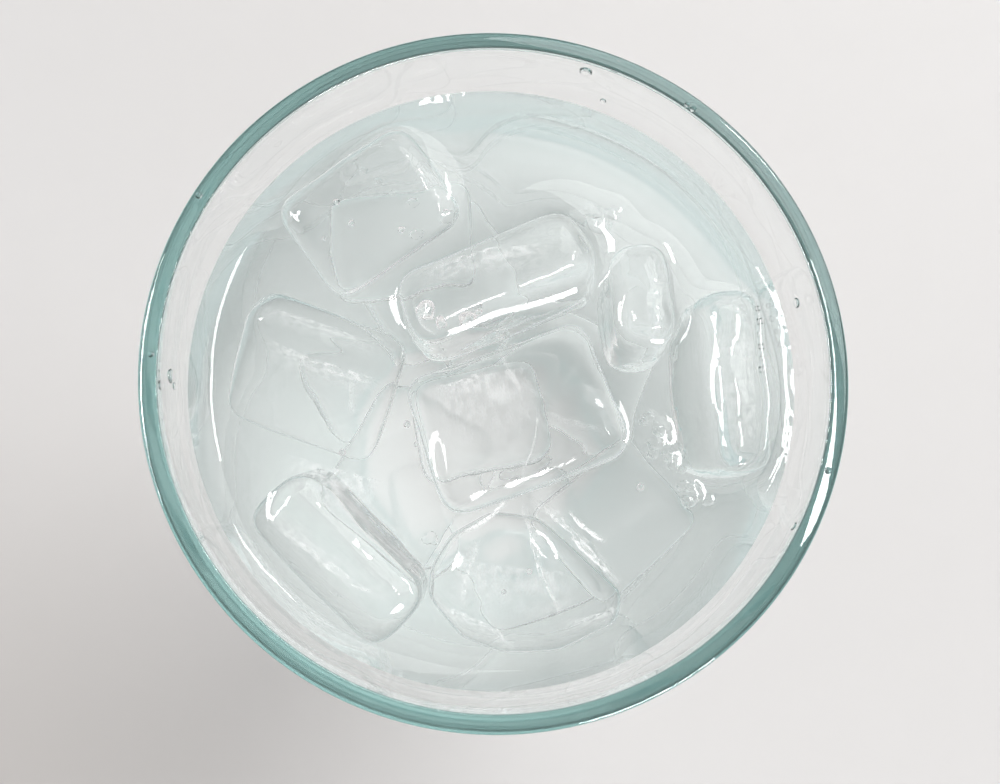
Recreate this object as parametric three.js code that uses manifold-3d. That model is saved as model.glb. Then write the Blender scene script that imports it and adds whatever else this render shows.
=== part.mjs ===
// A glass of iced water: a tapered soda-lime tumbler, the water that fills it
// to a finger's width below the lip, and the slabs of ice that break its surface.
// Millimetres, +Z up, origin at the middle of the foot.

import * as THREE from "three";
import { RoundedBoxGeometry } from "three/addons/geometries/RoundedBoxGeometry.js";
import { mergeVertices } from "three/addons/utils/BufferGeometryUtils.js";
import Module from "manifold-3d";

// ---- Driving dimensions ----

// The tumbler: a straight cone from foot to lip, its wall thicker towards the foot.
const HEIGHT = 148;
const RIM_RADIUS = 44;
const FOOT_RADIUS = 30;
const RIM_WALL = 2.4;
const FOOT_WALL = 3.2;

// Its thick base: a flat ring to stand on, a shallow hollow inside that ring,
// a rounded heel outside and a well-rounded corner inside.
const FLOOR_HEIGHT = 11;
const HOLLOW_HEIGHT = 1.6;
const RING_INNER_RADIUS = 19;
const RING_OUTER_RADIUS = 26;
const HEEL_HEIGHT = 4.5;
const FLOOR_CORNER = 8;

// The water: its level under the lip, and the gap that parts touching solids.
const LEVEL_BELOW_RIM = 12.2;
const GAP = 0.3;

// The ice: slabs from an ice machine, rounded by melting, with a slight draft.
const ICE_ROUNDING = 3;
const ICE_DRAFT = 0.05;

// Smoothness of the faceted surfaces.
const TURNS = 64;
const ARC_STEPS = 5;
const ICE_STEPS = 2;
const MERGE_DISTANCE = 1e-4;

const WATER_LEVEL = HEIGHT - LEVEL_BELOW_RIM;

// Each slab: its length, width and thickness, where its middle is and how far
// under the water's surface, and its turns about its own length, width and up.
// At a turn of 0 it lies flat, and at 90 about its length it stands on edge.
const ICE_SLABS = [
  { name: "ice_middle", size: [27, 20, 10], at: [3.1, -4.9], depth: 4.2, turn: [-5, 2, 20] },
  { name: "ice_back_bar", size: [27, 21, 10.5], at: [0.6, 14.2], depth: 7.4, turn: [84, -4, 23] },
  { name: "ice_right_bar", size: [26, 21, 9], at: [32.2, 0.2], depth: 8.6, turn: [98, 0, 93] },
  { name: "ice_right_chip", size: [15, 22, 8.5], at: [20.6, 11.6], depth: 9, turn: [90, 7, 96] },
  { name: "ice_left", size: [23, 19, 10], at: [-25, 1.2], depth: 7.8, turn: [36, 0, -20] },
  { name: "ice_back_left", size: [22, 16.5, 10], at: [-17.6, 24.2], depth: 3.6, turn: [6, -4, 35] },
  { name: "ice_left_bar", size: [25, 20, 10.5], at: [-20.5, -23.2], depth: 8.6, turn: [99, 0, -45] },
];

// The front one is split from a larger slab: the corners of its broken outline.
const ICE_SHARD = {
  name: "ice_front",
  corners: [[3, -15.5], [20.5, -31], [5, -38.3], [-8.5, -33], [-9.5, -22.5]],
  blunting: 4,
  thickness: 10,
  depth: 4.6,
  turn: [6, 4, 0],
};

// ---- Materials ----

const clearGlass = new THREE.MeshStandardMaterial({
  color: "#9fcfca",
  roughness: 0.03,
  metalness: 0,
  transparent: true,
  opacity: 0.35,
});

const stillWater = new THREE.MeshStandardMaterial({
  color: "#cfe3e0",
  roughness: 0.05,
  metalness: 0,
  transparent: true,
  opacity: 0.5,
});

const wetIce = new THREE.MeshStandardMaterial({
  color: "#e9f1f1",
  roughness: 0.15,
  metalness: 0,
  transparent: true,
  opacity: 0.6,
});

// ---- Joining and cutting closed meshes ----

const wasm = await Module();
wasm.setup();

function solidOf(mesh) {
  mesh.updateMatrixWorld(true);
  const placed = mesh.geometry.clone().applyMatrix4(mesh.matrixWorld);
  placed.deleteAttribute("normal");
  placed.deleteAttribute("uv");
  const merged = mergeVertices(placed, MERGE_DISTANCE);
  return new wasm.Manifold(
    new wasm.Mesh({
      numProp: 3,
      vertProperties: merged.attributes.position.array,
      triVerts: new Uint32Array(merged.index.array),
    }),
  );
}

function geometryOf(solid) {
  const { vertProperties, triVerts } = solid.getMesh();
  const geometry = new THREE.BufferGeometry();
  geometry.setAttribute("position", new THREE.BufferAttribute(vertProperties, 3));
  geometry.setIndex(new THREE.BufferAttribute(triVerts, 1));
  geometry.computeVertexNormals();
  return geometry;
}

// Profile points that run from the axis out and up and back to it, turned about +Z.
function turned(name, points, material) {
  const geometry = new THREE.LatheGeometry(points, TURNS);
  geometry.rotateX(Math.PI / 2);
  const mesh = new THREE.Mesh(geometry, material);
  mesh.name = name;
  return mesh;
}

// ---- The tumbler ----

const outerRadius = (z) => THREE.MathUtils.mapLinear(z, 0, HEIGHT, FOOT_RADIUS, RIM_RADIUS);
const wallAt = (z) => THREE.MathUtils.mapLinear(z, 0, HEIGHT, FOOT_WALL, RIM_WALL);
const innerRadius = (z) => outerRadius(z) - wallAt(z);

// The inside from the wall at height top down to the axis, drawn inset from the glass.
function drawInside(profile, top, inset) {
  const floor = FLOOR_HEIGHT + inset;
  const corner = floor + FLOOR_CORNER;
  profile.lineTo(innerRadius(top) - inset, top);
  profile.lineTo(innerRadius(corner) - inset, corner);
  profile.quadraticCurveTo(
    innerRadius(floor) - inset,
    floor,
    innerRadius(floor) - inset - FLOOR_CORNER,
    floor,
  );
  profile.lineTo(0, floor);
}

function tumbler() {
  const lipRadius = RIM_WALL / 2;
  const lipCentre = HEIGHT - lipRadius;
  const profile = new THREE.Path();
  profile.moveTo(0, HOLLOW_HEIGHT);
  profile.quadraticCurveTo(RING_INNER_RADIUS * 0.8, HOLLOW_HEIGHT, RING_INNER_RADIUS, 0);
  profile.lineTo(RING_OUTER_RADIUS, 0);
  profile.quadraticCurveTo(outerRadius(0), 0, outerRadius(HEEL_HEIGHT), HEEL_HEIGHT);
  profile.absarc(RIM_RADIUS - lipRadius, lipCentre, lipRadius, 0, Math.PI, false);
  drawInside(profile, lipCentre - lipRadius, 0);
  return turned("tumbler", profile.getPoints(ARC_STEPS), clearGlass);
}

// ---- The ice ----

function iceMesh(geometry, { name, depth, turn }, [x, y]) {
  const mesh = new THREE.Mesh(geometry, wetIce);
  mesh.name = name;
  mesh.position.set(x, y, WATER_LEVEL - depth);
  mesh.rotation.set(...turn.map(THREE.MathUtils.degToRad), "ZYX");
  return mesh;
}

// A rounded slab whose lower face is a little smaller than its upper one. Both it
// and the shard may be made larger all round, for the hollow that they leave in water.
function iceSlab(slab, grow = 0) {
  const [length, width, thickness] = slab.size.map((side) => side + 2 * grow);
  const rounding = ICE_ROUNDING + grow;
  const geometry = new RoundedBoxGeometry(length, width, thickness, ICE_STEPS, rounding);
  const corners = geometry.attributes.position;
  for (let i = 0; i < corners.count; i += 1) {
    const spread = 1 + (ICE_DRAFT * corners.getZ(i)) / thickness;
    corners.setX(i, corners.getX(i) * spread);
    corners.setY(i, corners.getY(i) * spread);
  }
  return iceMesh(geometry, slab, slab.at);
}

// An outline round the corners, each of them cut off across a short flat.
function bluntOutline(corners, reach) {
  const points = corners.flatMap((corner, i) => {
    const neighbours = [corners.at(i - 1), corners[(i + 1) % corners.length]];
    return neighbours.map((end) => corner.clone().lerp(end, reach / corner.distanceTo(end)));
  });
  return new THREE.Shape(points);
}

function iceShard(shard, grow = 0) {
  const corners = shard.corners.map(([x, y]) => new THREE.Vector2(x, y));
  const middle = new THREE.Vector2();
  corners.forEach((corner) => middle.addScaledVector(corner, 1 / corners.length));
  corners.forEach((corner) => corner.sub(middle));
  const flat = shard.thickness - 2 * ICE_ROUNDING;
  const geometry = new THREE.ExtrudeGeometry(bluntOutline(corners, shard.blunting), {
    depth: flat,
    bevelSegments: ICE_STEPS,
    bevelThickness: ICE_ROUNDING + grow,
    bevelSize: ICE_ROUNDING + grow,
    bevelOffset: -ICE_ROUNDING,
  });
  geometry.translate(0, 0, -flat / 2);
  return iceMesh(geometry, shard, middle);
}

const allIce = (grow) => [
  ...ICE_SLABS.map((slab) => iceSlab(slab, grow)),
  iceShard(ICE_SHARD, grow),
];

// ---- The water ----

// A plug that fills the tumbler to the level, hollowed where the ice floats in it.
function water() {
  const profile = new THREE.Path();
  profile.moveTo(0, WATER_LEVEL);
  drawInside(profile, WATER_LEVEL, GAP);
  const upwards = profile.getPoints(ARC_STEPS).reverse();
  let solid = solidOf(turned("plug", upwards, stillWater));
  for (const hollow of allIce(GAP)) {
    solid = solid.subtract(solidOf(hollow));
  }
  const mesh = new THREE.Mesh(geometryOf(solid), stillWater);
  mesh.name = "water";
  return mesh;
}

const glassOfWater = new THREE.Group();
glassOfWater.add(tumbler(), water(), ...allIce(0));

export default glassOfWater;
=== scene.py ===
"""A glass of iced water: a clear tapered tumbler, the water in it, and slabs of machine ice that float
at its surface and hang below it. Metres throughout; sizes are written in millimetres times MM."""

import math
import random

import bmesh
import bpy
import numpy as np
from mathutils import Euler, Matrix, Vector, noise
from mathutils.bvhtree import BVHTree


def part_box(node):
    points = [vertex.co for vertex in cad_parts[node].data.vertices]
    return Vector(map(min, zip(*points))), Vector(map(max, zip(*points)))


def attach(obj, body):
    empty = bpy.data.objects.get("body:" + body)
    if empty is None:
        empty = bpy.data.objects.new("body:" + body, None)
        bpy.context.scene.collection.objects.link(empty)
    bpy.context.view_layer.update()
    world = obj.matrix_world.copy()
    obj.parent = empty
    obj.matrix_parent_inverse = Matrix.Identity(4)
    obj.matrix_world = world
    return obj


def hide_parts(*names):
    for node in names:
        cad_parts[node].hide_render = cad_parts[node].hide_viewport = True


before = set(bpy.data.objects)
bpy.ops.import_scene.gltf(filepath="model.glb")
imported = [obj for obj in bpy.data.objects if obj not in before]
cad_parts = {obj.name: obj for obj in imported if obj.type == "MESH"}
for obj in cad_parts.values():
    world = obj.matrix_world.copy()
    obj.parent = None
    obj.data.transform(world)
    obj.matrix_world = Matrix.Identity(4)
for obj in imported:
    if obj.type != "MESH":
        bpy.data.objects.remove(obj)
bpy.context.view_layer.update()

# ---------------------------------------------------------------------------------------------------
# The viewpoint: someone leaning over the table, looking almost straight down into the glass, a
# forearm's length above its lip and a little to the near left of its axis.
# ---------------------------------------------------------------------------------------------------
MM = 0.001
EYE_ACROSS = -6.64 * MM
EYE_ALONG = -20.38 * MM
EYE_ABOVE_RIM = 115.5 * MM
LEAN_FORWARD = math.radians(8.35)
LEAN_ASIDE = math.radians(-3.25)
LENS = 34.2
SENSOR = 36.0
NEAREST_SEEN = 5 * MM
FURTHEST_SEEN = 20

glass_low, glass_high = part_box("tumbler")
rim_height = glass_high.z

camera_data = bpy.data.cameras.new("viewpoint")
camera_data.lens = LENS
camera_data.sensor_width = SENSOR
camera_data.clip_start = NEAREST_SEEN
camera_data.clip_end = FURTHEST_SEEN
camera = bpy.data.objects.new("viewpoint", camera_data)
camera.location = (EYE_ACROSS, EYE_ALONG, rim_height + EYE_ABOVE_RIM)
camera.rotation_euler = (LEAN_FORWARD, LEAN_ASIDE, 0)
bpy.context.scene.collection.objects.link(camera)
bpy.context.scene.camera = camera

# ---------------------------------------------------------------------------------------------------
# The table: a pale laminate top with a faint speckle. It is only what the glass stands on. A pool of
# light under the foot, brighter on one side, is painted on it as a glow, and its colour there is darkened
# as painted shade.
# ---------------------------------------------------------------------------------------------------
TABLE_REACH = 3.0
TABLE_GAP = 0.02 * MM
TABLE_ROUGHNESS = 0.6
SPECKLE_SCALE = 400
SPECKLE_DARKEST = 0.985
HARD_EDGE = 50
TABLE_COLOUR = (0.72, 0.70, 0.69)
SHADE_MIDDLE = (-150 * MM, -110 * MM, 0)
SHADE_REACH = 190 * MM
SHADE_COLOUR = (0.80, 0.775, 0.755)


def new_material(name):
    """A material with its nodes and its Principled shader, ready for a finish."""
    material = bpy.data.materials.new(name)
    material.use_nodes = True
    nodes = material.node_tree.nodes
    return material, nodes, material.node_tree.links, nodes["Principled BSDF"]


def piece_from_points(name, points, faces, material):
    """A mesh object from rows of points and of corner numbers, smooth except across hard edges."""
    mesh = bpy.data.meshes.new(name)
    mesh.from_pydata([tuple(p) for p in points], [], [tuple(int(i) for i in f) for f in faces])
    mesh.validate()
    mesh.polygons.foreach_set("use_smooth", [True] * len(mesh.polygons))
    mesh.set_sharp_from_angle(angle=math.radians(HARD_EDGE))
    mesh.materials.append(material)
    piece = bpy.data.objects.new(name, mesh)
    bpy.context.scene.collection.objects.link(piece)
    return piece


# Painted light: a glow in the table's own finish under the foot, stronger towards one side, with painted
# shade darkening its colour there.
POOL_RADIUS = 31 * MM
POOL_EDGE = 2 * MM
POOL_GLOW = 0.58
POOL_COLOUR = (1, 0.985, 0.97)
POOL_SIDE_GLOW = 0.26
POOL_SHADE = 0.25
POOL_SIDE = (-0.75, -0.66, 0)

laminate, nodes, links, shader = new_material("pale_laminate")
speckle = nodes.new("ShaderNodeTexNoise")
speckle.inputs["Scale"].default_value = SPECKLE_SCALE
speckle_tone = nodes.new("ShaderNodeMapRange")
speckle_tone.inputs["To Min"].default_value = SPECKLE_DARKEST
speckle_tone.inputs["To Max"].default_value = 1
links.new(speckle.outputs["Fac"], speckle_tone.inputs["Value"])
speckle_colour = nodes.new("ShaderNodeVectorMath")
speckle_colour.operation = "SCALE"
speckle_colour.inputs[0].default_value = TABLE_COLOUR
links.new(speckle_tone.outputs["Result"], speckle_colour.inputs["Scale"])
shader.inputs["Roughness"].default_value = TABLE_ROUGHNESS

table_place = nodes.new("ShaderNodeNewGeometry")
from_axis = nodes.new("ShaderNodeVectorMath")
from_axis.operation = "LENGTH"
links.new(table_place.outputs["Position"], from_axis.inputs[0])
pool = nodes.new("ShaderNodeMapRange")
pool.inputs["From Min"].default_value = POOL_RADIUS
pool.inputs["From Max"].default_value = POOL_RADIUS - POOL_EDGE
links.new(from_axis.outputs["Value"], pool.inputs["Value"])
towards_side = nodes.new("ShaderNodeVectorMath")
towards_side.operation = "DOT_PRODUCT"
towards_side.inputs[1].default_value = POOL_SIDE
links.new(table_place.outputs["Position"], towards_side.inputs[0])
pool_tone = nodes.new("ShaderNodeMapRange")
pool_tone.inputs["From Min"].default_value = -POOL_RADIUS
pool_tone.inputs["From Max"].default_value = POOL_RADIUS
pool_tone.inputs["To Min"].default_value = POOL_GLOW - POOL_SIDE_GLOW
pool_tone.inputs["To Max"].default_value = POOL_GLOW + POOL_SIDE_GLOW
links.new(towards_side.outputs["Value"], pool_tone.inputs["Value"])
# Painted shade: under the foot the table's colour falls to a quarter.
table_tone = nodes.new("ShaderNodeMapRange")
table_tone.inputs["To Min"].default_value = 1
table_tone.inputs["To Max"].default_value = POOL_SHADE
links.new(pool.outputs["Result"], table_tone.inputs["Value"])
shaded_colour = nodes.new("ShaderNodeVectorMath")
shaded_colour.operation = "SCALE"
links.new(speckle_colour.outputs["Vector"], shaded_colour.inputs[0])
links.new(table_tone.outputs["Result"], shaded_colour.inputs["Scale"])

# Painted shade: the table's colour is darker and warmer towards the near left, where someone leaning over
# the glass takes a little of the light.
from_shade = nodes.new("ShaderNodeVectorMath")
from_shade.operation = "DISTANCE"
from_shade.inputs[1].default_value = SHADE_MIDDLE
links.new(table_place.outputs["Position"], from_shade.inputs[0])
shade = nodes.new("ShaderNodeMapRange")
shade.interpolation_type = "SMOOTHSTEP"
shade.inputs["From Min"].default_value = SHADE_REACH
shade.inputs["From Max"].default_value = 0
links.new(from_shade.outputs["Value"], shade.inputs["Value"])
shade_tone = nodes.new("ShaderNodeMix")
shade_tone.data_type = "RGBA"
shade_tone.inputs["A"].default_value = (1, 1, 1, 1)
shade_tone.inputs["B"].default_value = (*SHADE_COLOUR, 1)
links.new(shade.outputs["Result"], shade_tone.inputs["Factor"])
table_colour = nodes.new("ShaderNodeVectorMath")
table_colour.operation = "MULTIPLY"
links.new(shaded_colour.outputs["Vector"], table_colour.inputs[0])
links.new(shade_tone.outputs["Result"], table_colour.inputs[1])
links.new(table_colour.outputs["Vector"], shader.inputs["Base Color"])
# The painted pool of light: the table glows under the foot.
pool_glow = nodes.new("ShaderNodeMath")
pool_glow.operation = "MULTIPLY"
links.new(pool.outputs["Result"], pool_glow.inputs[0])
links.new(pool_tone.outputs["Result"], pool_glow.inputs[1])
glow_colour = nodes.new("ShaderNodeVectorMath")
glow_colour.operation = "SCALE"
glow_colour.inputs[0].default_value = POOL_COLOUR
links.new(pool_glow.outputs["Value"], glow_colour.inputs["Scale"])
links.new(glow_colour.outputs["Vector"], shader.inputs["Emission Color"])
shader.inputs["Emission Strength"].default_value = 1

table_corners = [(-1, -1), (1, -1), (1, 1), (-1, 1)]
table = piece_from_points(
    "table_top",
    [(x * TABLE_REACH, y * TABLE_REACH, glass_low.z - TABLE_GAP) for x, y in table_corners],
    [(0, 1, 2, 3)],
    laminate,
)

# ---------------------------------------------------------------------------------------------------
# The light: a bright, even room, a big window, and long narrow lamps that draw the streaks along the
# lip and along the water where it climbs the ice and the wall.
# ---------------------------------------------------------------------------------------------------
ROOM_LOW = (0.42, 0.44, 0.45)
ROOM_HIGH = (0.80, 0.80, 0.80)
ROOM_HIGH_FROM = 0.8
BACKDROP = (0.80, 0.79, 0.79)

world = bpy.data.worlds.new("bright_room")
world.use_nodes = True
bpy.context.scene.world = world
room_nodes, room_links = world.node_tree.nodes, world.node_tree.links
room_direction = room_nodes.new("ShaderNodeTexCoord")
room_split = room_nodes.new("ShaderNodeSeparateXYZ")
room_ramp = room_nodes.new("ShaderNodeValToRGB")
room_ramp.color_ramp.elements[0].position = 0
room_ramp.color_ramp.elements[0].color = (*ROOM_LOW, 1)
room_ramp.color_ramp.elements[1].position = ROOM_HIGH_FROM
room_ramp.color_ramp.elements[1].color = (*ROOM_HIGH, 1)
room_links.new(room_direction.outputs["Generated"], room_split.inputs[0])
room_links.new(room_split.outputs["Z"], room_ramp.inputs["Fac"])
backdrop = room_nodes.new("ShaderNodeMix")
backdrop.data_type = "RGBA"
backdrop.inputs["B"].default_value = (*BACKDROP, 1)
room_path = room_nodes.new("ShaderNodeLightPath")
room_links.new(room_path.outputs["Is Camera Ray"], backdrop.inputs["Factor"])
room_links.new(room_ramp.outputs["Color"], backdrop.inputs["A"])
room_links.new(backdrop.outputs["Result"], room_nodes["Background"].inputs["Color"])
room_nodes["Background"].inputs["Strength"].default_value = 1

LAMP_DISTANCE = 1.5

# Each lamp: its name, the directions of its two ends as seen from the lip, each an azimuth and a
# height in degrees, its thickness in metres, its radiance, and whether it also lights the table.
LAMPS = [
    ("big_window", (20, 42), (75, 42), 1.0, 3.4, True),
    ("near_right_lamp", (-70, 47), (-42, 47), 0.30, 40, False),
    ("right_lamp", (-4, 66), (38, 66), 0.09, 30, False),
    ("left_lamp", (146, 53), (190, 56), 0.08, 36, False),
    ("high_left_lamp", (148, 60), (174, 60), 0.14, 36, False),
    ("back_lamp", (42, 49), (54, 55), 0.07, 36, False),
]


def lamp_from_to(name, first_end, last_end, thickness, radiance, lights_table):
    """A straight soft lamp between two directions as seen from the lip."""
    ends = []
    for azimuth, height in (first_end, last_end):
        a, h = math.radians(azimuth), math.radians(height)
        ends.append(Vector((math.cos(a) * math.cos(h), math.sin(a) * math.cos(h), math.sin(h))))
    start, stop = (end * LAMP_DISTANCE for end in ends)
    along = stop - start
    middle = (start + stop) / 2
    out = (middle - along.normalized() * middle.dot(along.normalized())).normalized()
    lamp = bpy.data.lights.new(name, "AREA")
    lamp.shape = "RECTANGLE"
    lamp.size, lamp.size_y = along.length, thickness
    lamp.energy = radiance * math.pi * along.length * thickness
    across = along.normalized()
    holder = bpy.data.objects.new(name, lamp)
    turn = Matrix((across, out.cross(across), out)).transposed().to_4x4()
    holder.matrix_world = Matrix.Translation(middle + Vector((0, 0, rim_height))) @ turn
    holder.visible_camera = False
    holder.visible_transmission = False
    holder.visible_diffuse = lights_table
    bpy.context.scene.collection.objects.link(holder)


for lamp_values in LAMPS:
    lamp_from_to(*lamp_values)

# Light runs down inside the wall from the lip to the foot in some thirty reflections.
WALL_BOUNCES = 40
CRACK_LAYERS = 16
TABLE_BOUNCES = 4
NOISE_ALLOWED = 0.1

scene = bpy.context.scene
scene.view_settings.view_transform = "Standard"
scene.cycles.max_bounces = WALL_BOUNCES
scene.cycles.transmission_bounces = WALL_BOUNCES
scene.cycles.glossy_bounces = WALL_BOUNCES
scene.cycles.transparent_max_bounces = CRACK_LAYERS
scene.cycles.diffuse_bounces = TABLE_BOUNCES
scene.cycles.blur_glossy = 0
scene.cycles.adaptive_threshold = NOISE_ALLOWED
scene.cycles.use_light_tree = False

# ---------------------------------------------------------------------------------------------------
# The tumbler: clear soda-lime glass, pressed and blown in one piece with a thick foot. Its lip is
# melted round by a flame, and the iron in the glass shows blue-green where it is seen edge on.
# ---------------------------------------------------------------------------------------------------
RIM_RADIUS = (glass_high.x - glass_low.x) / 2
RIM_WALL = 2.4 * MM
FOOT_RADIUS = 30 * MM
FOOT_WALL = 3.2 * MM
FLOOR_HEIGHT = 11 * MM
HOLLOW_HEIGHT = 1.6 * MM
RING_INNER_RADIUS = 19 * MM
RING_OUTER_RADIUS = 26 * MM
HEEL_HEIGHT = 4.5 * MM
FLOOR_CORNER = 8 * MM
GLASS_TURNS = 320
LIP_HEIGHT = 0.6 * MM
LIP_SQUARENESS = 5.0
GLASS_TINT = (0.08, 0.64, 0.60)
GLASS_TINT_DENSITY = 6.0
GLASS_IOR = 1.5
POLISH = 0.012
WALL_STEPS = 44
BEND_STEPS = 10
HEEL_STEPS = 8
FLOOR_STEPS = 6
LIP_STEPS = 30
HOLLOW_SHOULDER = 0.8


def outer_radius(z):
    return FOOT_RADIUS + (RIM_RADIUS - FOOT_RADIUS) * z / rim_height


def inner_radius(z):
    return outer_radius(z) - FOOT_WALL - (RIM_WALL - FOOT_WALL) * z / rim_height


def straight(start, end, steps):
    """Points on a line, without its last one."""
    t = np.linspace(0, 1, steps, endpoint=False)[:, None]
    return np.array(start) * (1 - t) + np.array(end) * t


def bend(start, corner, end, steps):
    """Points on a curve that leaves towards the corner and arrives from it, without its last one."""
    t = np.linspace(0, 1, steps, endpoint=False)[:, None]
    return np.array(start) * (1 - t) ** 2 + np.array(corner) * 2 * t * (1 - t) + np.array(end) * t**2


def turned(profile, turns):
    """Points and faces of a profile from the axis to the axis, turned about the glass's axis."""
    angles = np.linspace(0, 2 * math.pi, turns, endpoint=False)
    inner = profile[1:-1]
    rings = np.stack(
        [
            np.outer(inner[:, 0], np.cos(angles)),
            np.outer(inner[:, 0], np.sin(angles)),
            np.repeat(inner[:, 1:], turns, axis=1),
        ],
        axis=-1,
    ).reshape(-1, 3)
    points = np.vstack([[(0, 0, profile[0, 1])], rings, [(0, 0, profile[-1, 1])]])
    last = len(points) - 1
    here = np.arange(turns)
    there = (here + 1) % turns
    faces = [(0, 1 + b, 1 + a) for a, b in zip(here, there)]
    for row in range(len(inner) - 1):
        low, high = 1 + row * turns, 1 + (row + 1) * turns
        faces += [(low + a, low + b, high + b, high + a) for a, b in zip(here, there)]
    top = 1 + (len(inner) - 1) * turns
    faces += [(top + a, top + b, last) for a, b in zip(here, there)]
    return points, faces


def inside_profile(top, inset, steps):
    """The tumbler's inside from the height top down to the axis, set in from the glass."""
    floor = FLOOR_HEIGHT + inset
    corner = floor + FLOOR_CORNER
    wall_end = (inner_radius(corner) - inset, corner)
    floor_corner = (inner_radius(floor) - inset, floor)
    floor_edge = (floor_corner[0] - FLOOR_CORNER, floor)
    return np.vstack(
        [
            straight((inner_radius(top) - inset, top), wall_end, steps),
            bend(wall_end, floor_corner, floor_edge, BEND_STEPS),
            straight(floor_edge, (0, floor), FLOOR_STEPS),
            [(0, floor)],
        ]
    )


lip_half = RIM_WALL / 2
lip_foot = rim_height - LIP_HEIGHT
lip_angles = np.linspace(0, math.pi, LIP_STEPS, endpoint=False)[:, None]
lip_across = np.sign(np.cos(lip_angles)) * np.abs(np.cos(lip_angles)) ** (2 / LIP_SQUARENESS)
lip_up = np.sin(lip_angles) ** (2 / LIP_SQUARENESS)
lip = np.hstack([lip_across * lip_half, lip_up * LIP_HEIGHT]) + (RIM_RADIUS - lip_half, lip_foot)
heel_top = (outer_radius(HEEL_HEIGHT), HEEL_HEIGHT)
hollow_shoulder = (RING_INNER_RADIUS * HOLLOW_SHOULDER, HOLLOW_HEIGHT)
glass_profile = np.vstack(
    [
        bend((0, HOLLOW_HEIGHT), hollow_shoulder, (RING_INNER_RADIUS, 0), BEND_STEPS),
        straight((RING_INNER_RADIUS, 0), (RING_OUTER_RADIUS, 0), 2),
        bend((RING_OUTER_RADIUS, 0), (outer_radius(0), 0), heel_top, HEEL_STEPS),
        straight(heel_top, (RIM_RADIUS, lip_foot), WALL_STEPS),
        lip,
        inside_profile(lip_foot, 0, WALL_STEPS),
    ]
)
glass_points, glass_faces = turned(glass_profile, GLASS_TURNS)


def see_through(name, roughness, ior):
    """A finish that lets the light through and bends it."""
    material, _, _, shader = new_material(name)
    shader.inputs["Base Color"].default_value = (1, 1, 1, 1)
    shader.inputs["Roughness"].default_value = roughness
    shader.inputs["IOR"].default_value = ior
    shader.inputs["Transmission Weight"].default_value = 1
    return material


clear_glass = see_through("clear_glass", POLISH, GLASS_IOR)
nodes, links = clear_glass.node_tree.nodes, clear_glass.node_tree.links
glass_tint = nodes.new("ShaderNodeVolumeAbsorption")
glass_tint.inputs["Color"].default_value = (*GLASS_TINT, 1)
glass_tint.inputs["Density"].default_value = GLASS_TINT_DENSITY
links.new(glass_tint.outputs["Volume"], nodes["Material Output"].inputs["Volume"])

tumbler = piece_from_points("tumbler_glass", glass_points, glass_faces, clear_glass)
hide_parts("tumbler")
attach(tumbler, "root")

# ---------------------------------------------------------------------------------------------------
# The ice: half-size slabs from a bar ice machine, clear, with rounded edges and faces that have melted
# into shallow waves. Some float at the surface; the rest hang under them, held down by the ones above.
# ---------------------------------------------------------------------------------------------------
ICE_GRAIN = 0.55 * MM
ICE_SOFTENING = 32
ICE_SOFTENING_STRENGTH = 0.5
ICE_WAVE = 0.28 * MM
ICE_WAVE_LENGTH = 7 * MM
ICE_RIPPLE = 0.06 * MM
ICE_RIPPLE_LENGTH = 2.2 * MM
ICE_WAVE_SHIFT = (3.7, 1.3, 2.9)
ICE_ROUNDING = 2.6 * MM
ICE_ROUNDING_STEPS = 4
ICE_AGAINST_WATER = 0.968
MELTWATER_BLUR = 0.5
SUNK_SEED = 20

# Each sunk slab: its size and where its middle is, its depth under the surface, all in millimetres,
# and its turns in degrees.
SUNK_ICE = [
    ((20, 18, 9), (18.0, -18.5), 17.0, (3, -4, 42)),
    ((19, 16, 9), (-1.5, -4.0), 16.6, (-2, 3, 12)),
    ((22, 17, 9), (-13.5, 23.0), 17.5, (5, 4, 8)),
    ((25, 20, 10), (-13.0, -12.0), 30.0, (24, 6, 60)),
    ((25, 20, 10), (13.0, 5.0), 31.0, (-18, 10, -25)),
    ((24, 20, 10), (6.0, -22.5), 31.0, (14, -8, -70)),
    ((24, 20, 10), (-8.0, 20.0), 32.0, (-12, 6, 30)),
    ((24, 19, 10), (1.5, 1.5), 46.0, (9, -14, 75)),
    ((24, 19, 10), (-18.0, 4.5), 45.0, (-28, 12, 20)),
    ((24, 19, 10), (17.5, -10.0), 47.0, (22, 8, -50)),
    ((24, 19, 10), (-4.0, -17.5), 58.0, (-8, 16, 5)),
    ((24, 19, 10), (8.0, 15.0), 60.0, (12, -10, -35)),
]

wet_ice = see_through("wet_ice", 0, ICE_AGAINST_WATER)
# Deeper down, meltwater streams off the ice and blurs its outline.
blurred_ice = see_through("blurred_ice", MELTWATER_BLUR, ICE_AGAINST_WATER)


def rounded_block(size):
    """A block with rounded edges, in bmesh, about its own middle."""
    block = bmesh.new()
    bmesh.ops.create_cube(block, size=1)
    bmesh.ops.scale(block, vec=[side * MM for side in size], verts=block.verts)
    bmesh.ops.bevel(
        block,
        geom=block.edges[:],
        offset=ICE_ROUNDING,
        segments=ICE_ROUNDING_STEPS,
        profile=0.5,
        affect="EDGES",
    )
    mesh = bpy.data.meshes.new("block")
    block.to_mesh(mesh)
    block.free()
    return mesh


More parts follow.
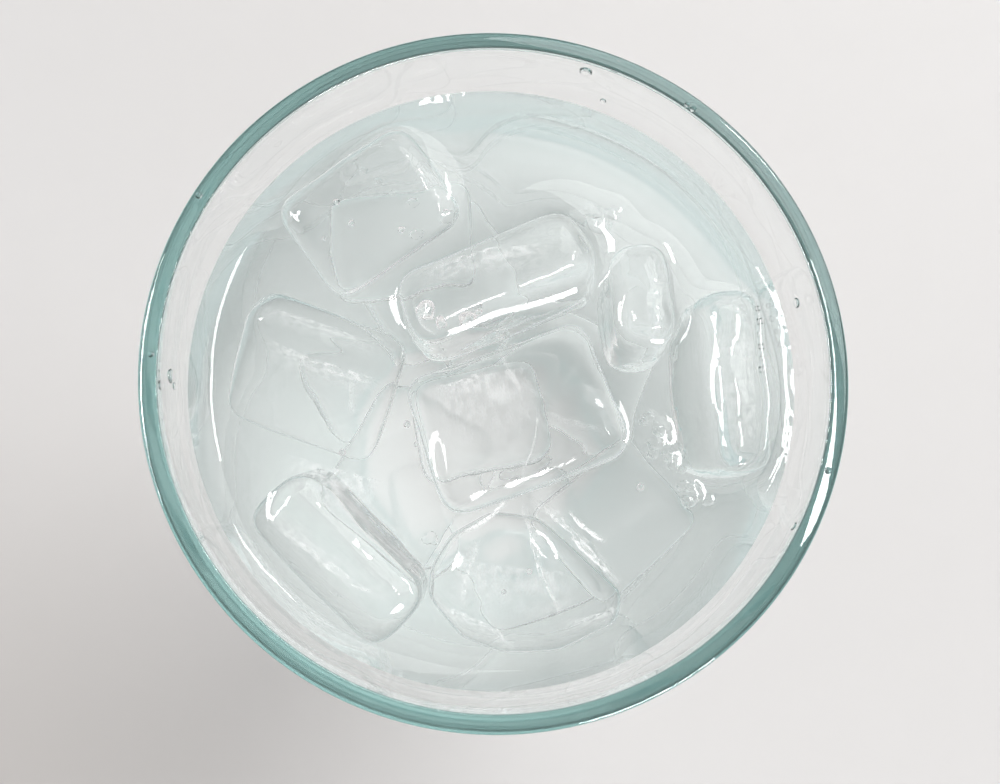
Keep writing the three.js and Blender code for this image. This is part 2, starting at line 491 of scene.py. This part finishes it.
def melted(name, mesh, seed, material):
    """The mesh remade in fine even faces, softened, and waved as ice melts."""
    rough = bpy.data.objects.new(name + "_rough", mesh)
    bpy.context.scene.collection.objects.link(rough)
    remesh = rough.modifiers.new("remesh", "REMESH")
    remesh.mode = "VOXEL"
    remesh.voxel_size = ICE_GRAIN
    soften = rough.modifiers.new("soften", "SMOOTH")
    soften.factor = ICE_SOFTENING_STRENGTH
    soften.iterations = ICE_SOFTENING
    graph = bpy.context.evaluated_depsgraph_get()
    made = bpy.data.meshes.new_from_object(rough.evaluated_get(graph))
    bpy.data.objects.remove(rough)
    made.name = name
    shift = Vector(side * seed for side in ICE_WAVE_SHIFT)
    spots = np.empty(len(made.vertices) * 3)
    outwards = np.empty(len(made.vertices) * 3)
    made.vertices.foreach_get("co", spots)
    made.vertices.foreach_get("normal", outwards)
    spots, outwards = spots.reshape(-1, 3), outwards.reshape(-1, 3)
    waves = [
        ICE_WAVE * (noise.noise(Vector(spot) / ICE_WAVE_LENGTH + shift) - 0.5)
        + ICE_RIPPLE * noise.noise(Vector(spot) / ICE_RIPPLE_LENGTH - shift)
        for spot in spots
    ]
    made.vertices.foreach_set("co", (spots + outwards * np.array(waves)[:, None]).ravel())
    made.update()
    made.polygons.foreach_set("use_smooth", [True] * len(made.polygons))
    made.materials.clear()
    made.materials.append(material)
    piece = bpy.data.objects.new(name, made)
    bpy.context.scene.collection.objects.link(piece)
    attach(piece, "root")
    return piece


water_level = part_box("water")[1].z

floating_ice = []
for seed, node_name in enumerate(sorted(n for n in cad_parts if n.startswith("ice_"))):
    slab = melted("floating_" + node_name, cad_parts[node_name].data.copy(), seed, wet_ice)
    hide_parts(node_name)
    floating_ice.append(slab)

for number, (size, (x, y), depth, turn) in enumerate(SUNK_ICE):
    block = rounded_block(size)
    turned_about = Euler([math.radians(t) for t in turn], "XYZ").to_matrix().to_4x4()
    place = Matrix.Translation((x * MM, y * MM, water_level - depth * MM))
    block.transform(place @ turned_about)
    melted(f"sunk_ice_{number}", block, SUNK_SEED + number, blurred_ice)

# ---------------------------------------------------------------------------------------------------
# The crumbs: small bits that broke off the slabs as they knocked together. They float among the slabs,
# and a thin film of water lies over them.
# ---------------------------------------------------------------------------------------------------
LUMP_RINGS = 11
LUMP_TURNS = 18
LUMP_BUMPS = 1.6


def lump(middle, radii, seed, lumpiness):
    """Points and faces of a small uneven ball, its middle and its three radii in millimetres."""
    heights = np.linspace(-math.pi / 2, math.pi / 2, LUMP_RINGS)
    profile = np.stack([np.cos(heights), np.sin(heights)], axis=-1)
    profile[0, 0] = profile[-1, 0] = 0
    points, faces = turned(profile, LUMP_TURNS)
    swell = [
        1 + lumpiness * noise.noise(Vector(p) * LUMP_BUMPS + Vector((seed, 0, 0))) for p in points
    ]
    return (points * np.array(swell)[:, None] * radii + middle) * MM, faces


def joined(name, lumps, material):
    """One mesh object from the points and faces of many small bodies."""
    starts = np.cumsum([0] + [len(points) for points, _ in lumps])
    faces = [tuple(i + start for i in f) for start, (_, fs) in zip(starts, lumps) for f in fs]
    return piece_from_points(name, np.vstack([points for points, _ in lumps]), faces, material)


# Each crumb in millimetres: where it is, its radius, and how far it stands out of the water.
CRUMBS = [
    (11.6, 23.0, 1.5, 0.35), (13.6, 24.4, 1.3, 0.30), (14.6, 22.2, 1.6, 0.40), (16.4, 24.0, 1.0, 0.30),
    (-6.6, 23.2, 1.3, 0.40), (-11.0, 20.6, 0.9, 0.30), (1.0, 6.6, 1.0, 0.30), (-8.6, -21.4, 1.0, 0.35),
    (-18.5, 29.5, 0.6, 0.20), (-16.4, 28.0, 0.6, 0.20), (-11.6, 25.0, 0.8, 0.25), (-14.4, 26.4, 0.5, 0.18),
]

# A trail of more of them lies between the two slabs at the right.
TRAIL_START = (21.4, -4.6)
TRAIL_END = (27.4, -16.4)
TRAIL_COUNT = 20
TRAIL_SPREAD = 1.2
TRAIL_RADII = (0.5, 1.1)
TRAIL_RISES = (0.2, 0.45)
CRUMB_NARROWNESS = 0.8
CRUMB_LUMPINESS = 0.5
CRUMB_SEED_STEP = 2.3

scatter = random.Random(11)
crumb_spots = list(CRUMBS)
for _ in range(TRAIL_COUNT):
    along, aside = scatter.random(), scatter.gauss(0, TRAIL_SPREAD)
    crumb_spots.append(
        (
            TRAIL_START[0] + (TRAIL_END[0] - TRAIL_START[0]) * along + aside,
            TRAIL_START[1] + (TRAIL_END[1] - TRAIL_START[1]) * along,
            scatter.uniform(*TRAIL_RADII),
            scatter.uniform(*TRAIL_RISES),
        )
    )
level = water_level / MM
crumbs = joined(
    "ice_crumbs",
    [
        lump(
            (x, y, level + rise - radius),
            (radius, radius * CRUMB_NARROWNESS, radius),
            n * CRUMB_SEED_STEP,
            CRUMB_LUMPINESS,
        )
        for n, (x, y, radius, rise) in enumerate(crumb_spots)
    ],
    wet_ice,
)
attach(crumbs, "root")

# ---------------------------------------------------------------------------------------------------
# The water: it wets both the glass and the ice, so its surface climbs the wall in a narrow curve and
# lies over each slab as a thin film that runs down from the slab's edge in a smooth hollow curve.
# ---------------------------------------------------------------------------------------------------
CAPILLARY_LENGTH = 2.7 * MM
WALL_CLIMB = 2.3 * MM
FILM = 0.15 * MM
WATER_IOR = 1.333
INTO_WALL = 0.1 * MM
EDGE_TAPER = 8 * MM
SURFACE_STEP = 0.3 * MM
SURFACE_PASSES = 700
WATER_RINGS = 120
WATER_WALL_STEPS = 40
WATER_TURNS = 448

contact_radius = inner_radius(water_level + WALL_CLIMB)
half_cells = int(math.ceil(contact_radius / SURFACE_STEP)) + 2
line = np.arange(-half_cells, half_cells + 1) * SURFACE_STEP
grid_x, grid_y = np.meshgrid(line, line, indexing="ij")
grid_r = np.hypot(grid_x, grid_y)

ice_tops = np.full(grid_x.shape, -1.0)
for slab in [*floating_ice, crumbs]:
    tree = BVHTree.FromPolygons(
        [v.co[:] for v in slab.data.vertices], [p.vertices[:] for p in slab.data.polygons]
    )
    spots = np.array([v.co[:] for v in slab.data.vertices])
    low, high = spots.min(0), spots.max(0)
    near = (grid_x > low[0]) & (grid_x < high[0]) & (grid_y > low[1]) & (grid_y < high[1])
    for i, j in np.argwhere(near):
        hit = tree.ray_cast(Vector((line[i], line[j], rim_height)), Vector((0, 0, -1)))[0]
        if hit is not None:
            ice_tops[i, j] = max(ice_tops[i, j], hit.z + FILM)

surface = np.full(grid_x.shape, water_level)
at_wall = grid_r >= contact_radius - SURFACE_STEP / 2
pull = (SURFACE_STEP / CAPILLARY_LENGTH) ** 2
for _ in range(SURFACE_PASSES):
    around = np.roll(surface, 1, 0) + np.roll(surface, -1, 0)
    around += np.roll(surface, 1, 1) + np.roll(surface, -1, 1)
    surface = np.maximum((around + pull * water_level) / (4 + pull), ice_tops)
    surface[at_wall] = water_level + WALL_CLIMB


def surface_height(x, y):
    """The water's height at each point, between the cells of the grid."""
    across, along = (x - line[0]) / SURFACE_STEP, (y - line[0]) / SURFACE_STEP
    i, j = across.astype(int), along.astype(int)
    s, t = across - i, along - j
    near = surface[i, j] * (1 - s) + surface[i + 1, j] * s
    far = surface[i, j + 1] * (1 - s) + surface[i + 1, j + 1] * s
    return near * (1 - t) + far * t


wall_profile = inside_profile(water_level + WALL_CLIMB, -INTO_WALL, WATER_WALL_STEPS)
# At the very edge it only meets the glass, so that no ledge of water stands inside the wall.
below_edge = (wall_profile[0, 1] - wall_profile[:, 1]) / EDGE_TAPER
wall_profile[:, 0] -= INTO_WALL * np.clip(1 - below_edge, 0, 1)
upwards = wall_profile[1:][::-1]
inwards = straight((contact_radius, water_level), (0, water_level), WATER_RINGS)
water_profile = np.vstack([upwards, inwards, [(0, water_level)]])
water_points, water_faces = turned(water_profile, WATER_TURNS)
top_start = 1 + (len(upwards) - 1) * WATER_TURNS
top_points = water_points[top_start:]
top_points[:, 2] = surface_height(top_points[:, 0], top_points[:, 1])

still_water = see_through("still_water", POLISH, WATER_IOR)
water = piece_from_points("water_body", water_points, water_faces, still_water)
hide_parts("water")
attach(water, "root")

# ---------------------------------------------------------------------------------------------------
# Cracks: the slabs split a little as they drop into warmer water. Each crack is a thin sheet that
# hangs inside the ice as a fine white line with a faint veil under it, and gives off a little painted glow.
# A few short shallow sheets are painted highlights along wet edges of the slabs, drawn the same way.
# ---------------------------------------------------------------------------------------------------
CRACK_GAP = 0.05
CRACK_STEPS = 44
CRACK_ROWS = 14
CRACK_WOBBLE = 0.35
CRACK_WOBBLE_GRAIN = (6.0, 3.0)
CRACK_SEED_STEP = 5.1
CRACK_END = 0.22
CRACK_COLOUR = (0.96, 0.98, 0.98)
CRACK_ROUGHNESS = 0.5
CRACK_SHINE = 0.3
# The painted glow of the crack sheets.
CRACK_GLOW = 0.35
CRACK_PATCHES = (16, 5, 1)
CRACK_PATCH_DETAIL = 5
CRACK_PATCH_ROUGHNESS = 0.62
CRACK_CLEAR_BELOW = 0.40
CRACK_WHITE_ABOVE = 0.66

# Each crack or painted highlight in millimetres: where its upper edge starts and ends, each with its depth,
# how its sheet runs on from there, how far it bows, and how strongly it shows its white and its painted
# glow.
CRACKS_AND_PAINTED_GLINTS = [
    ((3.5, -16.2, 2.2), (9.2, -32.4, 3.0), (1.5, 0, -4.5), 0.9, 0.5),
    ((4.4, -16.0, 2.2), (17.5, -29.0, 3.0), (1.2, 1.2, -4.5), -0.8, 0.6),
    ((-1.2, -21.0, 2.4), (-4.0, -30.5, 3.2), (-1.5, 0, -4.0), 0.7, 0.35),
    ((9.0, -32.2, 2.4), (18.0, -29.6, 3.2), (0, -2.5, -3.5), 0.6, 0.4),
    ((-8.5, -30.0, 2.5), (3.5, -36.0, 3.0), (0, -2.2, -3.5), -1.2, 0.55),
    ((0.4, 5.2, 1.6), (3.4, -0.8, 2.4), (1.0, 0, -4.5), 0.4, 0.25),
    ((5.8, -3.0, 0.6), (3.2, -13.2, 1.4), (0.8, 0, -5.0), -0.6, 0.35),
    ((6.2, -3.4, 0.8), (15.8, -6.4, 1.6), (0, -1.0, -5.0), 0.5, 0.2),
    ((-9.0, -0.8, 1.0), (-1.0, 2.0, 1.4), (0.5, -1.6, -4.0), 0.6, 0.3),
    ((-11.6, 14.6, 1.0), (9.0, 19.6, 1.6), (0.8, -2.4, -7.0), -1.1, 0.35),
    ((-11.4, 12.6, 2.0), (-8.0, 6.6, 3.0), (1.0, 0.6, -6.0), 0.4, 0.3),
    ((-31.8, 6.0, 3.0), (-15.0, 0.2, 3.6), (-0.6, -2.6, -4.0), 0.5, 0.38),
    ((-33.2, 11.0, 4.0), (-15.8, 5.0, 3.0), (-0.4, -1.8, -4.0), -0.4, 0.3),
    ((-19.6, 2.2, 3.0), (-20.0, -4.8, 4.4), (1.0, 0, -3.0), 0.3, 0.25),
    ((-31.5, -17.6, 2.0), (-13.4, -31.0, 2.6), (1.4, 1.6, -8.0), 0.5, 0.4),
    ((-29.0, -19.8, 3.0), (-17.0, -30.0, 3.4), (0.6, 0.6, -6.0), -0.4, 0.25),
    ((24.2, 17.6, 2.0), (23.0, 6.4, 2.4), (-0.8, 0, -7.0), 0.4, 0.2),
    ((36.4, 9.6, 1.6), (36.2, -8.6, 1.8), (-2.6, 0, -8.0), 0.5, 0.3),
    # These three are painted highlights: short bright white lines just under the surface, not cracks.
    ((9.7, -17.8, 1.0), (14.7, -22.0, 1.0), (0.5, 0.5, -0.8), 0.4, 2.4),
    ((10.0, -21.0, 1.2), (14.3, -25.3, 1.2), (0.4, 0.4, -0.6), 0.3, 2.0),
    ((-4.3, -20.4, 1.2), (1.4, -16.0, 1.0), (0.4, -0.4, -0.8), 0.5, 2.0),
    ((-29.5, -9.5, 9.0), (-15.0, -13.5, 9.0), (-2.0, -6.0, -2.0), 0.8, 0.3),
    ((-9.0, -0.5, 5.0), (6.0, 3.0, 5.0), (2.0, -10.0, -1.0), 0.8, 0.22),
    ((-6.0, -24.0, 5.5), (12.0, -26.0, 5.5), (0.0, -8.0, -1.0), 0.8, 0.2),
]

white_crack_with_painted_glow, nodes, links, shader = new_material("white_crack_with_painted_glow")
shader.inputs["Base Color"].default_value = (*CRACK_COLOUR, 1)
shader.inputs["Roughness"].default_value = CRACK_ROUGHNESS
shader.inputs["Specular IOR Level"].default_value = CRACK_SHINE
# Painted glow: the sheets give off a little light of their own, though they are no lamp.
shader.inputs["Emission Color"].default_value = (1, 1, 1, 1)
shader.inputs["Emission Strength"].default_value = CRACK_GLOW
crack_place = nodes.new("ShaderNodeTexCoord")
crack_split = nodes.new("ShaderNodeSeparateXYZ")
links.new(crack_place.outputs["UV"], crack_split.inputs[0])
crack_grain = nodes.new("ShaderNodeTexNoise")
crack_grain.inputs["Scale"].default_value = 1
crack_grain.inputs["Detail"].default_value = CRACK_PATCH_DETAIL
crack_grain.inputs["Roughness"].default_value = CRACK_PATCH_ROUGHNESS
crack_stretch = nodes.new("ShaderNodeMapping")
crack_stretch.inputs["Scale"].default_value = CRACK_PATCHES
links.new(crack_place.outputs["UV"], crack_stretch.inputs["Vector"])
links.new(crack_stretch.outputs["Vector"], crack_grain.inputs["Vector"])
crack_patches = nodes.new("ShaderNodeMapRange")
crack_patches.interpolation_type = "SMOOTHSTEP"
crack_patches.inputs["From Min"].default_value = CRACK_CLEAR_BELOW
crack_patches.inputs["From Max"].default_value = CRACK_WHITE_ABOVE
links.new(crack_grain.outputs["Fac"], crack_patches.inputs["Value"])
# The upper edge is the whitest, and each sheet fades out downwards.
crack_depth = nodes.new("ShaderNodeMapRange")
crack_depth.inputs["To Min"].default_value = 1
crack_depth.inputs["To Max"].default_value = 0
links.new(crack_split.outputs["Y"], crack_depth.inputs["Value"])
crack_end = nodes.new("ShaderNodeMath")
crack_end.operation = "PINGPONG"
crack_end.inputs[1].default_value = 0.5
links.new(crack_split.outputs["X"], crack_end.inputs[0])
crack_fade = nodes.new("ShaderNodeMapRange")
crack_fade.inputs["From Max"].default_value = CRACK_END
links.new(crack_end.outputs["Value"], crack_fade.inputs["Value"])
crack_strength = nodes.new("ShaderNodeAttribute")
crack_strength.attribute_name = "catch"
crack_alpha = crack_patches.outputs["Result"]
for factor in (crack_depth.outputs["Result"], crack_strength.outputs["Fac"], crack_fade.outputs["Result"]):
    product = nodes.new("ShaderNodeMath")
    product.operation = "MULTIPLY"
    links.new(crack_alpha, product.inputs[0])
    links.new(factor, product.inputs[1])
    crack_alpha = product.outputs["Value"]
links.new(crack_alpha, shader.inputs["Alpha"])


def sheet(start, end, hang, bow, seed):
    """Points, faces and places along and down a closed thin wavy sheet, in millimetres."""
    start, end, hang = (np.array(v, float) for v in (start, end, hang))
    start[2], end[2] = -start[2], -end[2]
    run = end - start
    side = np.cross(hang, run)
    side /= np.linalg.norm(side)
    u = np.linspace(0, 1, CRACK_STEPS)[:, None]
    v = np.linspace(0, 1, CRACK_ROWS)[None, :]
    grain_u, grain_v = CRACK_WOBBLE_GRAIN
    depth = seed * CRACK_SEED_STEP
    wobble = np.array(
        [[noise.noise(Vector((a * grain_u, b * grain_v, depth))) for b in v[0]] for a in u[:, 0]]
    )
    shift = bow * np.sin(math.pi * u) + CRACK_WOBBLE * wobble
    middle = start + run * u[..., None] + hang * v[..., None] + side * shift[..., None]
    points = np.concatenate(
        [
            (middle + side * CRACK_GAP / 2).reshape(-1, 3),
            (middle - side * CRACK_GAP / 2).reshape(-1, 3),
        ]
    )
    back = CRACK_STEPS * CRACK_ROWS
    number = np.arange(back).reshape(CRACK_STEPS, CRACK_ROWS)
    faces = []
    for i in range(CRACK_STEPS - 1):
        for j in range(CRACK_ROWS - 1):
            a, b, c, d = number[i, j], number[i + 1, j], number[i + 1, j + 1], number[i, j + 1]
            faces += [(d, c, b, a), (a + back, b + back, c + back, d + back)]
    edge = [*number[:, 0], *number[-1, 1:], *number[-2::-1, -1], *number[0, -2:0:-1]]
    for a, b in zip(edge, edge[1:] + edge[:1]):
        faces.append((a, b, b + back, a + back))
    across = np.tile(np.stack([u + 0 * v, v + 0 * u], axis=-1).reshape(-1, 2), (2, 1))
    return points, faces, across


crack_points, crack_faces, crack_across, crack_catch = [], [], [], []
for seed, (start, end, hang, bow, catch) in enumerate(CRACKS_AND_PAINTED_GLINTS):
    points, faces, across = sheet(start, end, hang, bow, seed)
    offset = sum(len(p) for p in crack_points)
    crack_points.append(points * MM + (0, 0, water_level))
    crack_faces += [tuple(i + offset for i in face) for face in faces]
    crack_across.append(across)
    crack_catch += [catch] * len(points)
crack_and_glint_sheets = piece_from_points("ice_cracks_and_painted_glints", np.vstack(crack_points), crack_faces, white_crack_with_painted_glow)
corner_points = np.empty(len(crack_and_glint_sheets.data.loops), int)
crack_and_glint_sheets.data.loops.foreach_get("vertex_index", corner_points)
crack_map = crack_and_glint_sheets.data.uv_layers.new(name="along_and_down")
crack_map.data.foreach_set("uv", np.vstack(crack_across)[corner_points].ravel())
crack_and_glint_sheets.data.attributes.new("catch", "FLOAT", "POINT").data.foreach_set("value", crack_catch)
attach(crack_and_glint_sheets, "root")

# ---------------------------------------------------------------------------------------------------
# Bubbles: air that the ice gave up as it melted. It is caught under the slabs and along one edge of the
# water, in small flattened balls.
# ---------------------------------------------------------------------------------------------------
AIR_AGAINST_WATER = 0.75
BUBBLE_FLATNESS = 0.8
BUBBLE_LUMPINESS = 0.25
BUBBLE_SEED_STEP = 1.7

# Where each bubble is, its depth and its radius, in millimetres.
BUBBLES = [
    (-9.2, 10.2, 3.0, 1.1), (-7.6, 9.0, 3.4, 0.7), (-4.0, 9.4, 3.0, 1.3), (-2.6, 10.6, 3.4, 0.6),
    (-22.4, 25.6, 2.6, 0.5), (-20.2, 22.6, 2.8, 0.45), (-13.2, 21.8, 2.6, 0.5), (-24.0, 20.4, 3.0, 0.35),
    (37.6, 11.0, 3.0, 0.4), (37.9, 9.2, 3.4, 0.5), (37.8, 7.4, 3.8, 0.35), (38.0, 5.6, 3.4, 0.45),
    (37.9, 3.8, 3.0, 0.4), (37.7, 2.2, 3.4, 0.5), (-12.0, -5.6, 6.0, 0.5), (-10.6, -8.4, 6.0, 0.4),
    (-21.0, -9.6, 6.5, 0.5), (4.8, -25.6, 5.0, 0.4), (1.2, -28.4, 5.0, 0.35), (20.4, -14.2, 5.0, 0.5),
]

trapped_air = see_through("trapped_air", 0, AIR_AGAINST_WATER)
bubbles = joined(
    "air_bubbles",
    [
        lump(
            (x, y, level - depth),
            (radius, radius, radius * BUBBLE_FLATNESS),
            n * BUBBLE_SEED_STEP,
            BUBBLE_LUMPINESS,
        )
        for n, (x, y, depth, radius) in enumerate(BUBBLES)
    ],
    trapped_air,
)
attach(bubbles, "root")

# ---------------------------------------------------------------------------------------------------
# Drops: a little water that splashed up as the ice went in. It clings to the lip and to the dry wall
# inside it, in small flattened caps.
# ---------------------------------------------------------------------------------------------------
DROP_SUNK = 0.15
LIP_DROP_SHAPE = (1, 1, 0.8)
LIP_DROP_LUMPINESS = 0.1
WALL_DROP_SHAPE = (0.5, 1, 1.1)
WALL_DROP_LUMPINESS = 0.15

# On the lip: azimuth, distance from the axis and radius. On the wall: azimuth, height and radius.
LIP_DROPS = [
    (-17.6, 42.7, 0.5), (178.8, 42.5, 0.4), (150.8, 43.2, 0.45), (53.6, 42.4, 0.45), (54.9, 42.4, 0.4),
]
WALL_DROPS = [
    (-178.5, 143.8, 0.9), (-177.0, 142.6, 0.5), (74.0, 146.0, 0.9), (13.8, 142.2, 0.7), (69.2, 140.9, 0.45),
    (-28.4, 146.6, 0.6),
]

drop_lumps = []
for n, (azimuth, distance, radius) in enumerate(LIP_DROPS):
    a = math.radians(azimuth)
    middle = (math.cos(a) * distance, math.sin(a) * distance, rim_height / MM - DROP_SUNK)
    drop_lumps.append(lump(middle, radius * np.array(LIP_DROP_SHAPE), n, LIP_DROP_LUMPINESS))
for n, (azimuth, height, radius) in enumerate(WALL_DROPS):
    a = math.radians(azimuth)
    distance = inner_radius(height * MM) / MM + DROP_SUNK
    points, faces = lump((0, 0, 0), radius * np.array(WALL_DROP_SHAPE), n, WALL_DROP_LUMPINESS)
    to_wall = Matrix.Rotation(a, 3, "Z")
    middle = np.array((math.cos(a) * distance, math.sin(a) * distance, height)) * MM
    drop_lumps.append((points @ np.array(to_wall).T + middle, faces))
drops = joined("water_drops", drop_lumps, still_water)
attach(drops, "root")
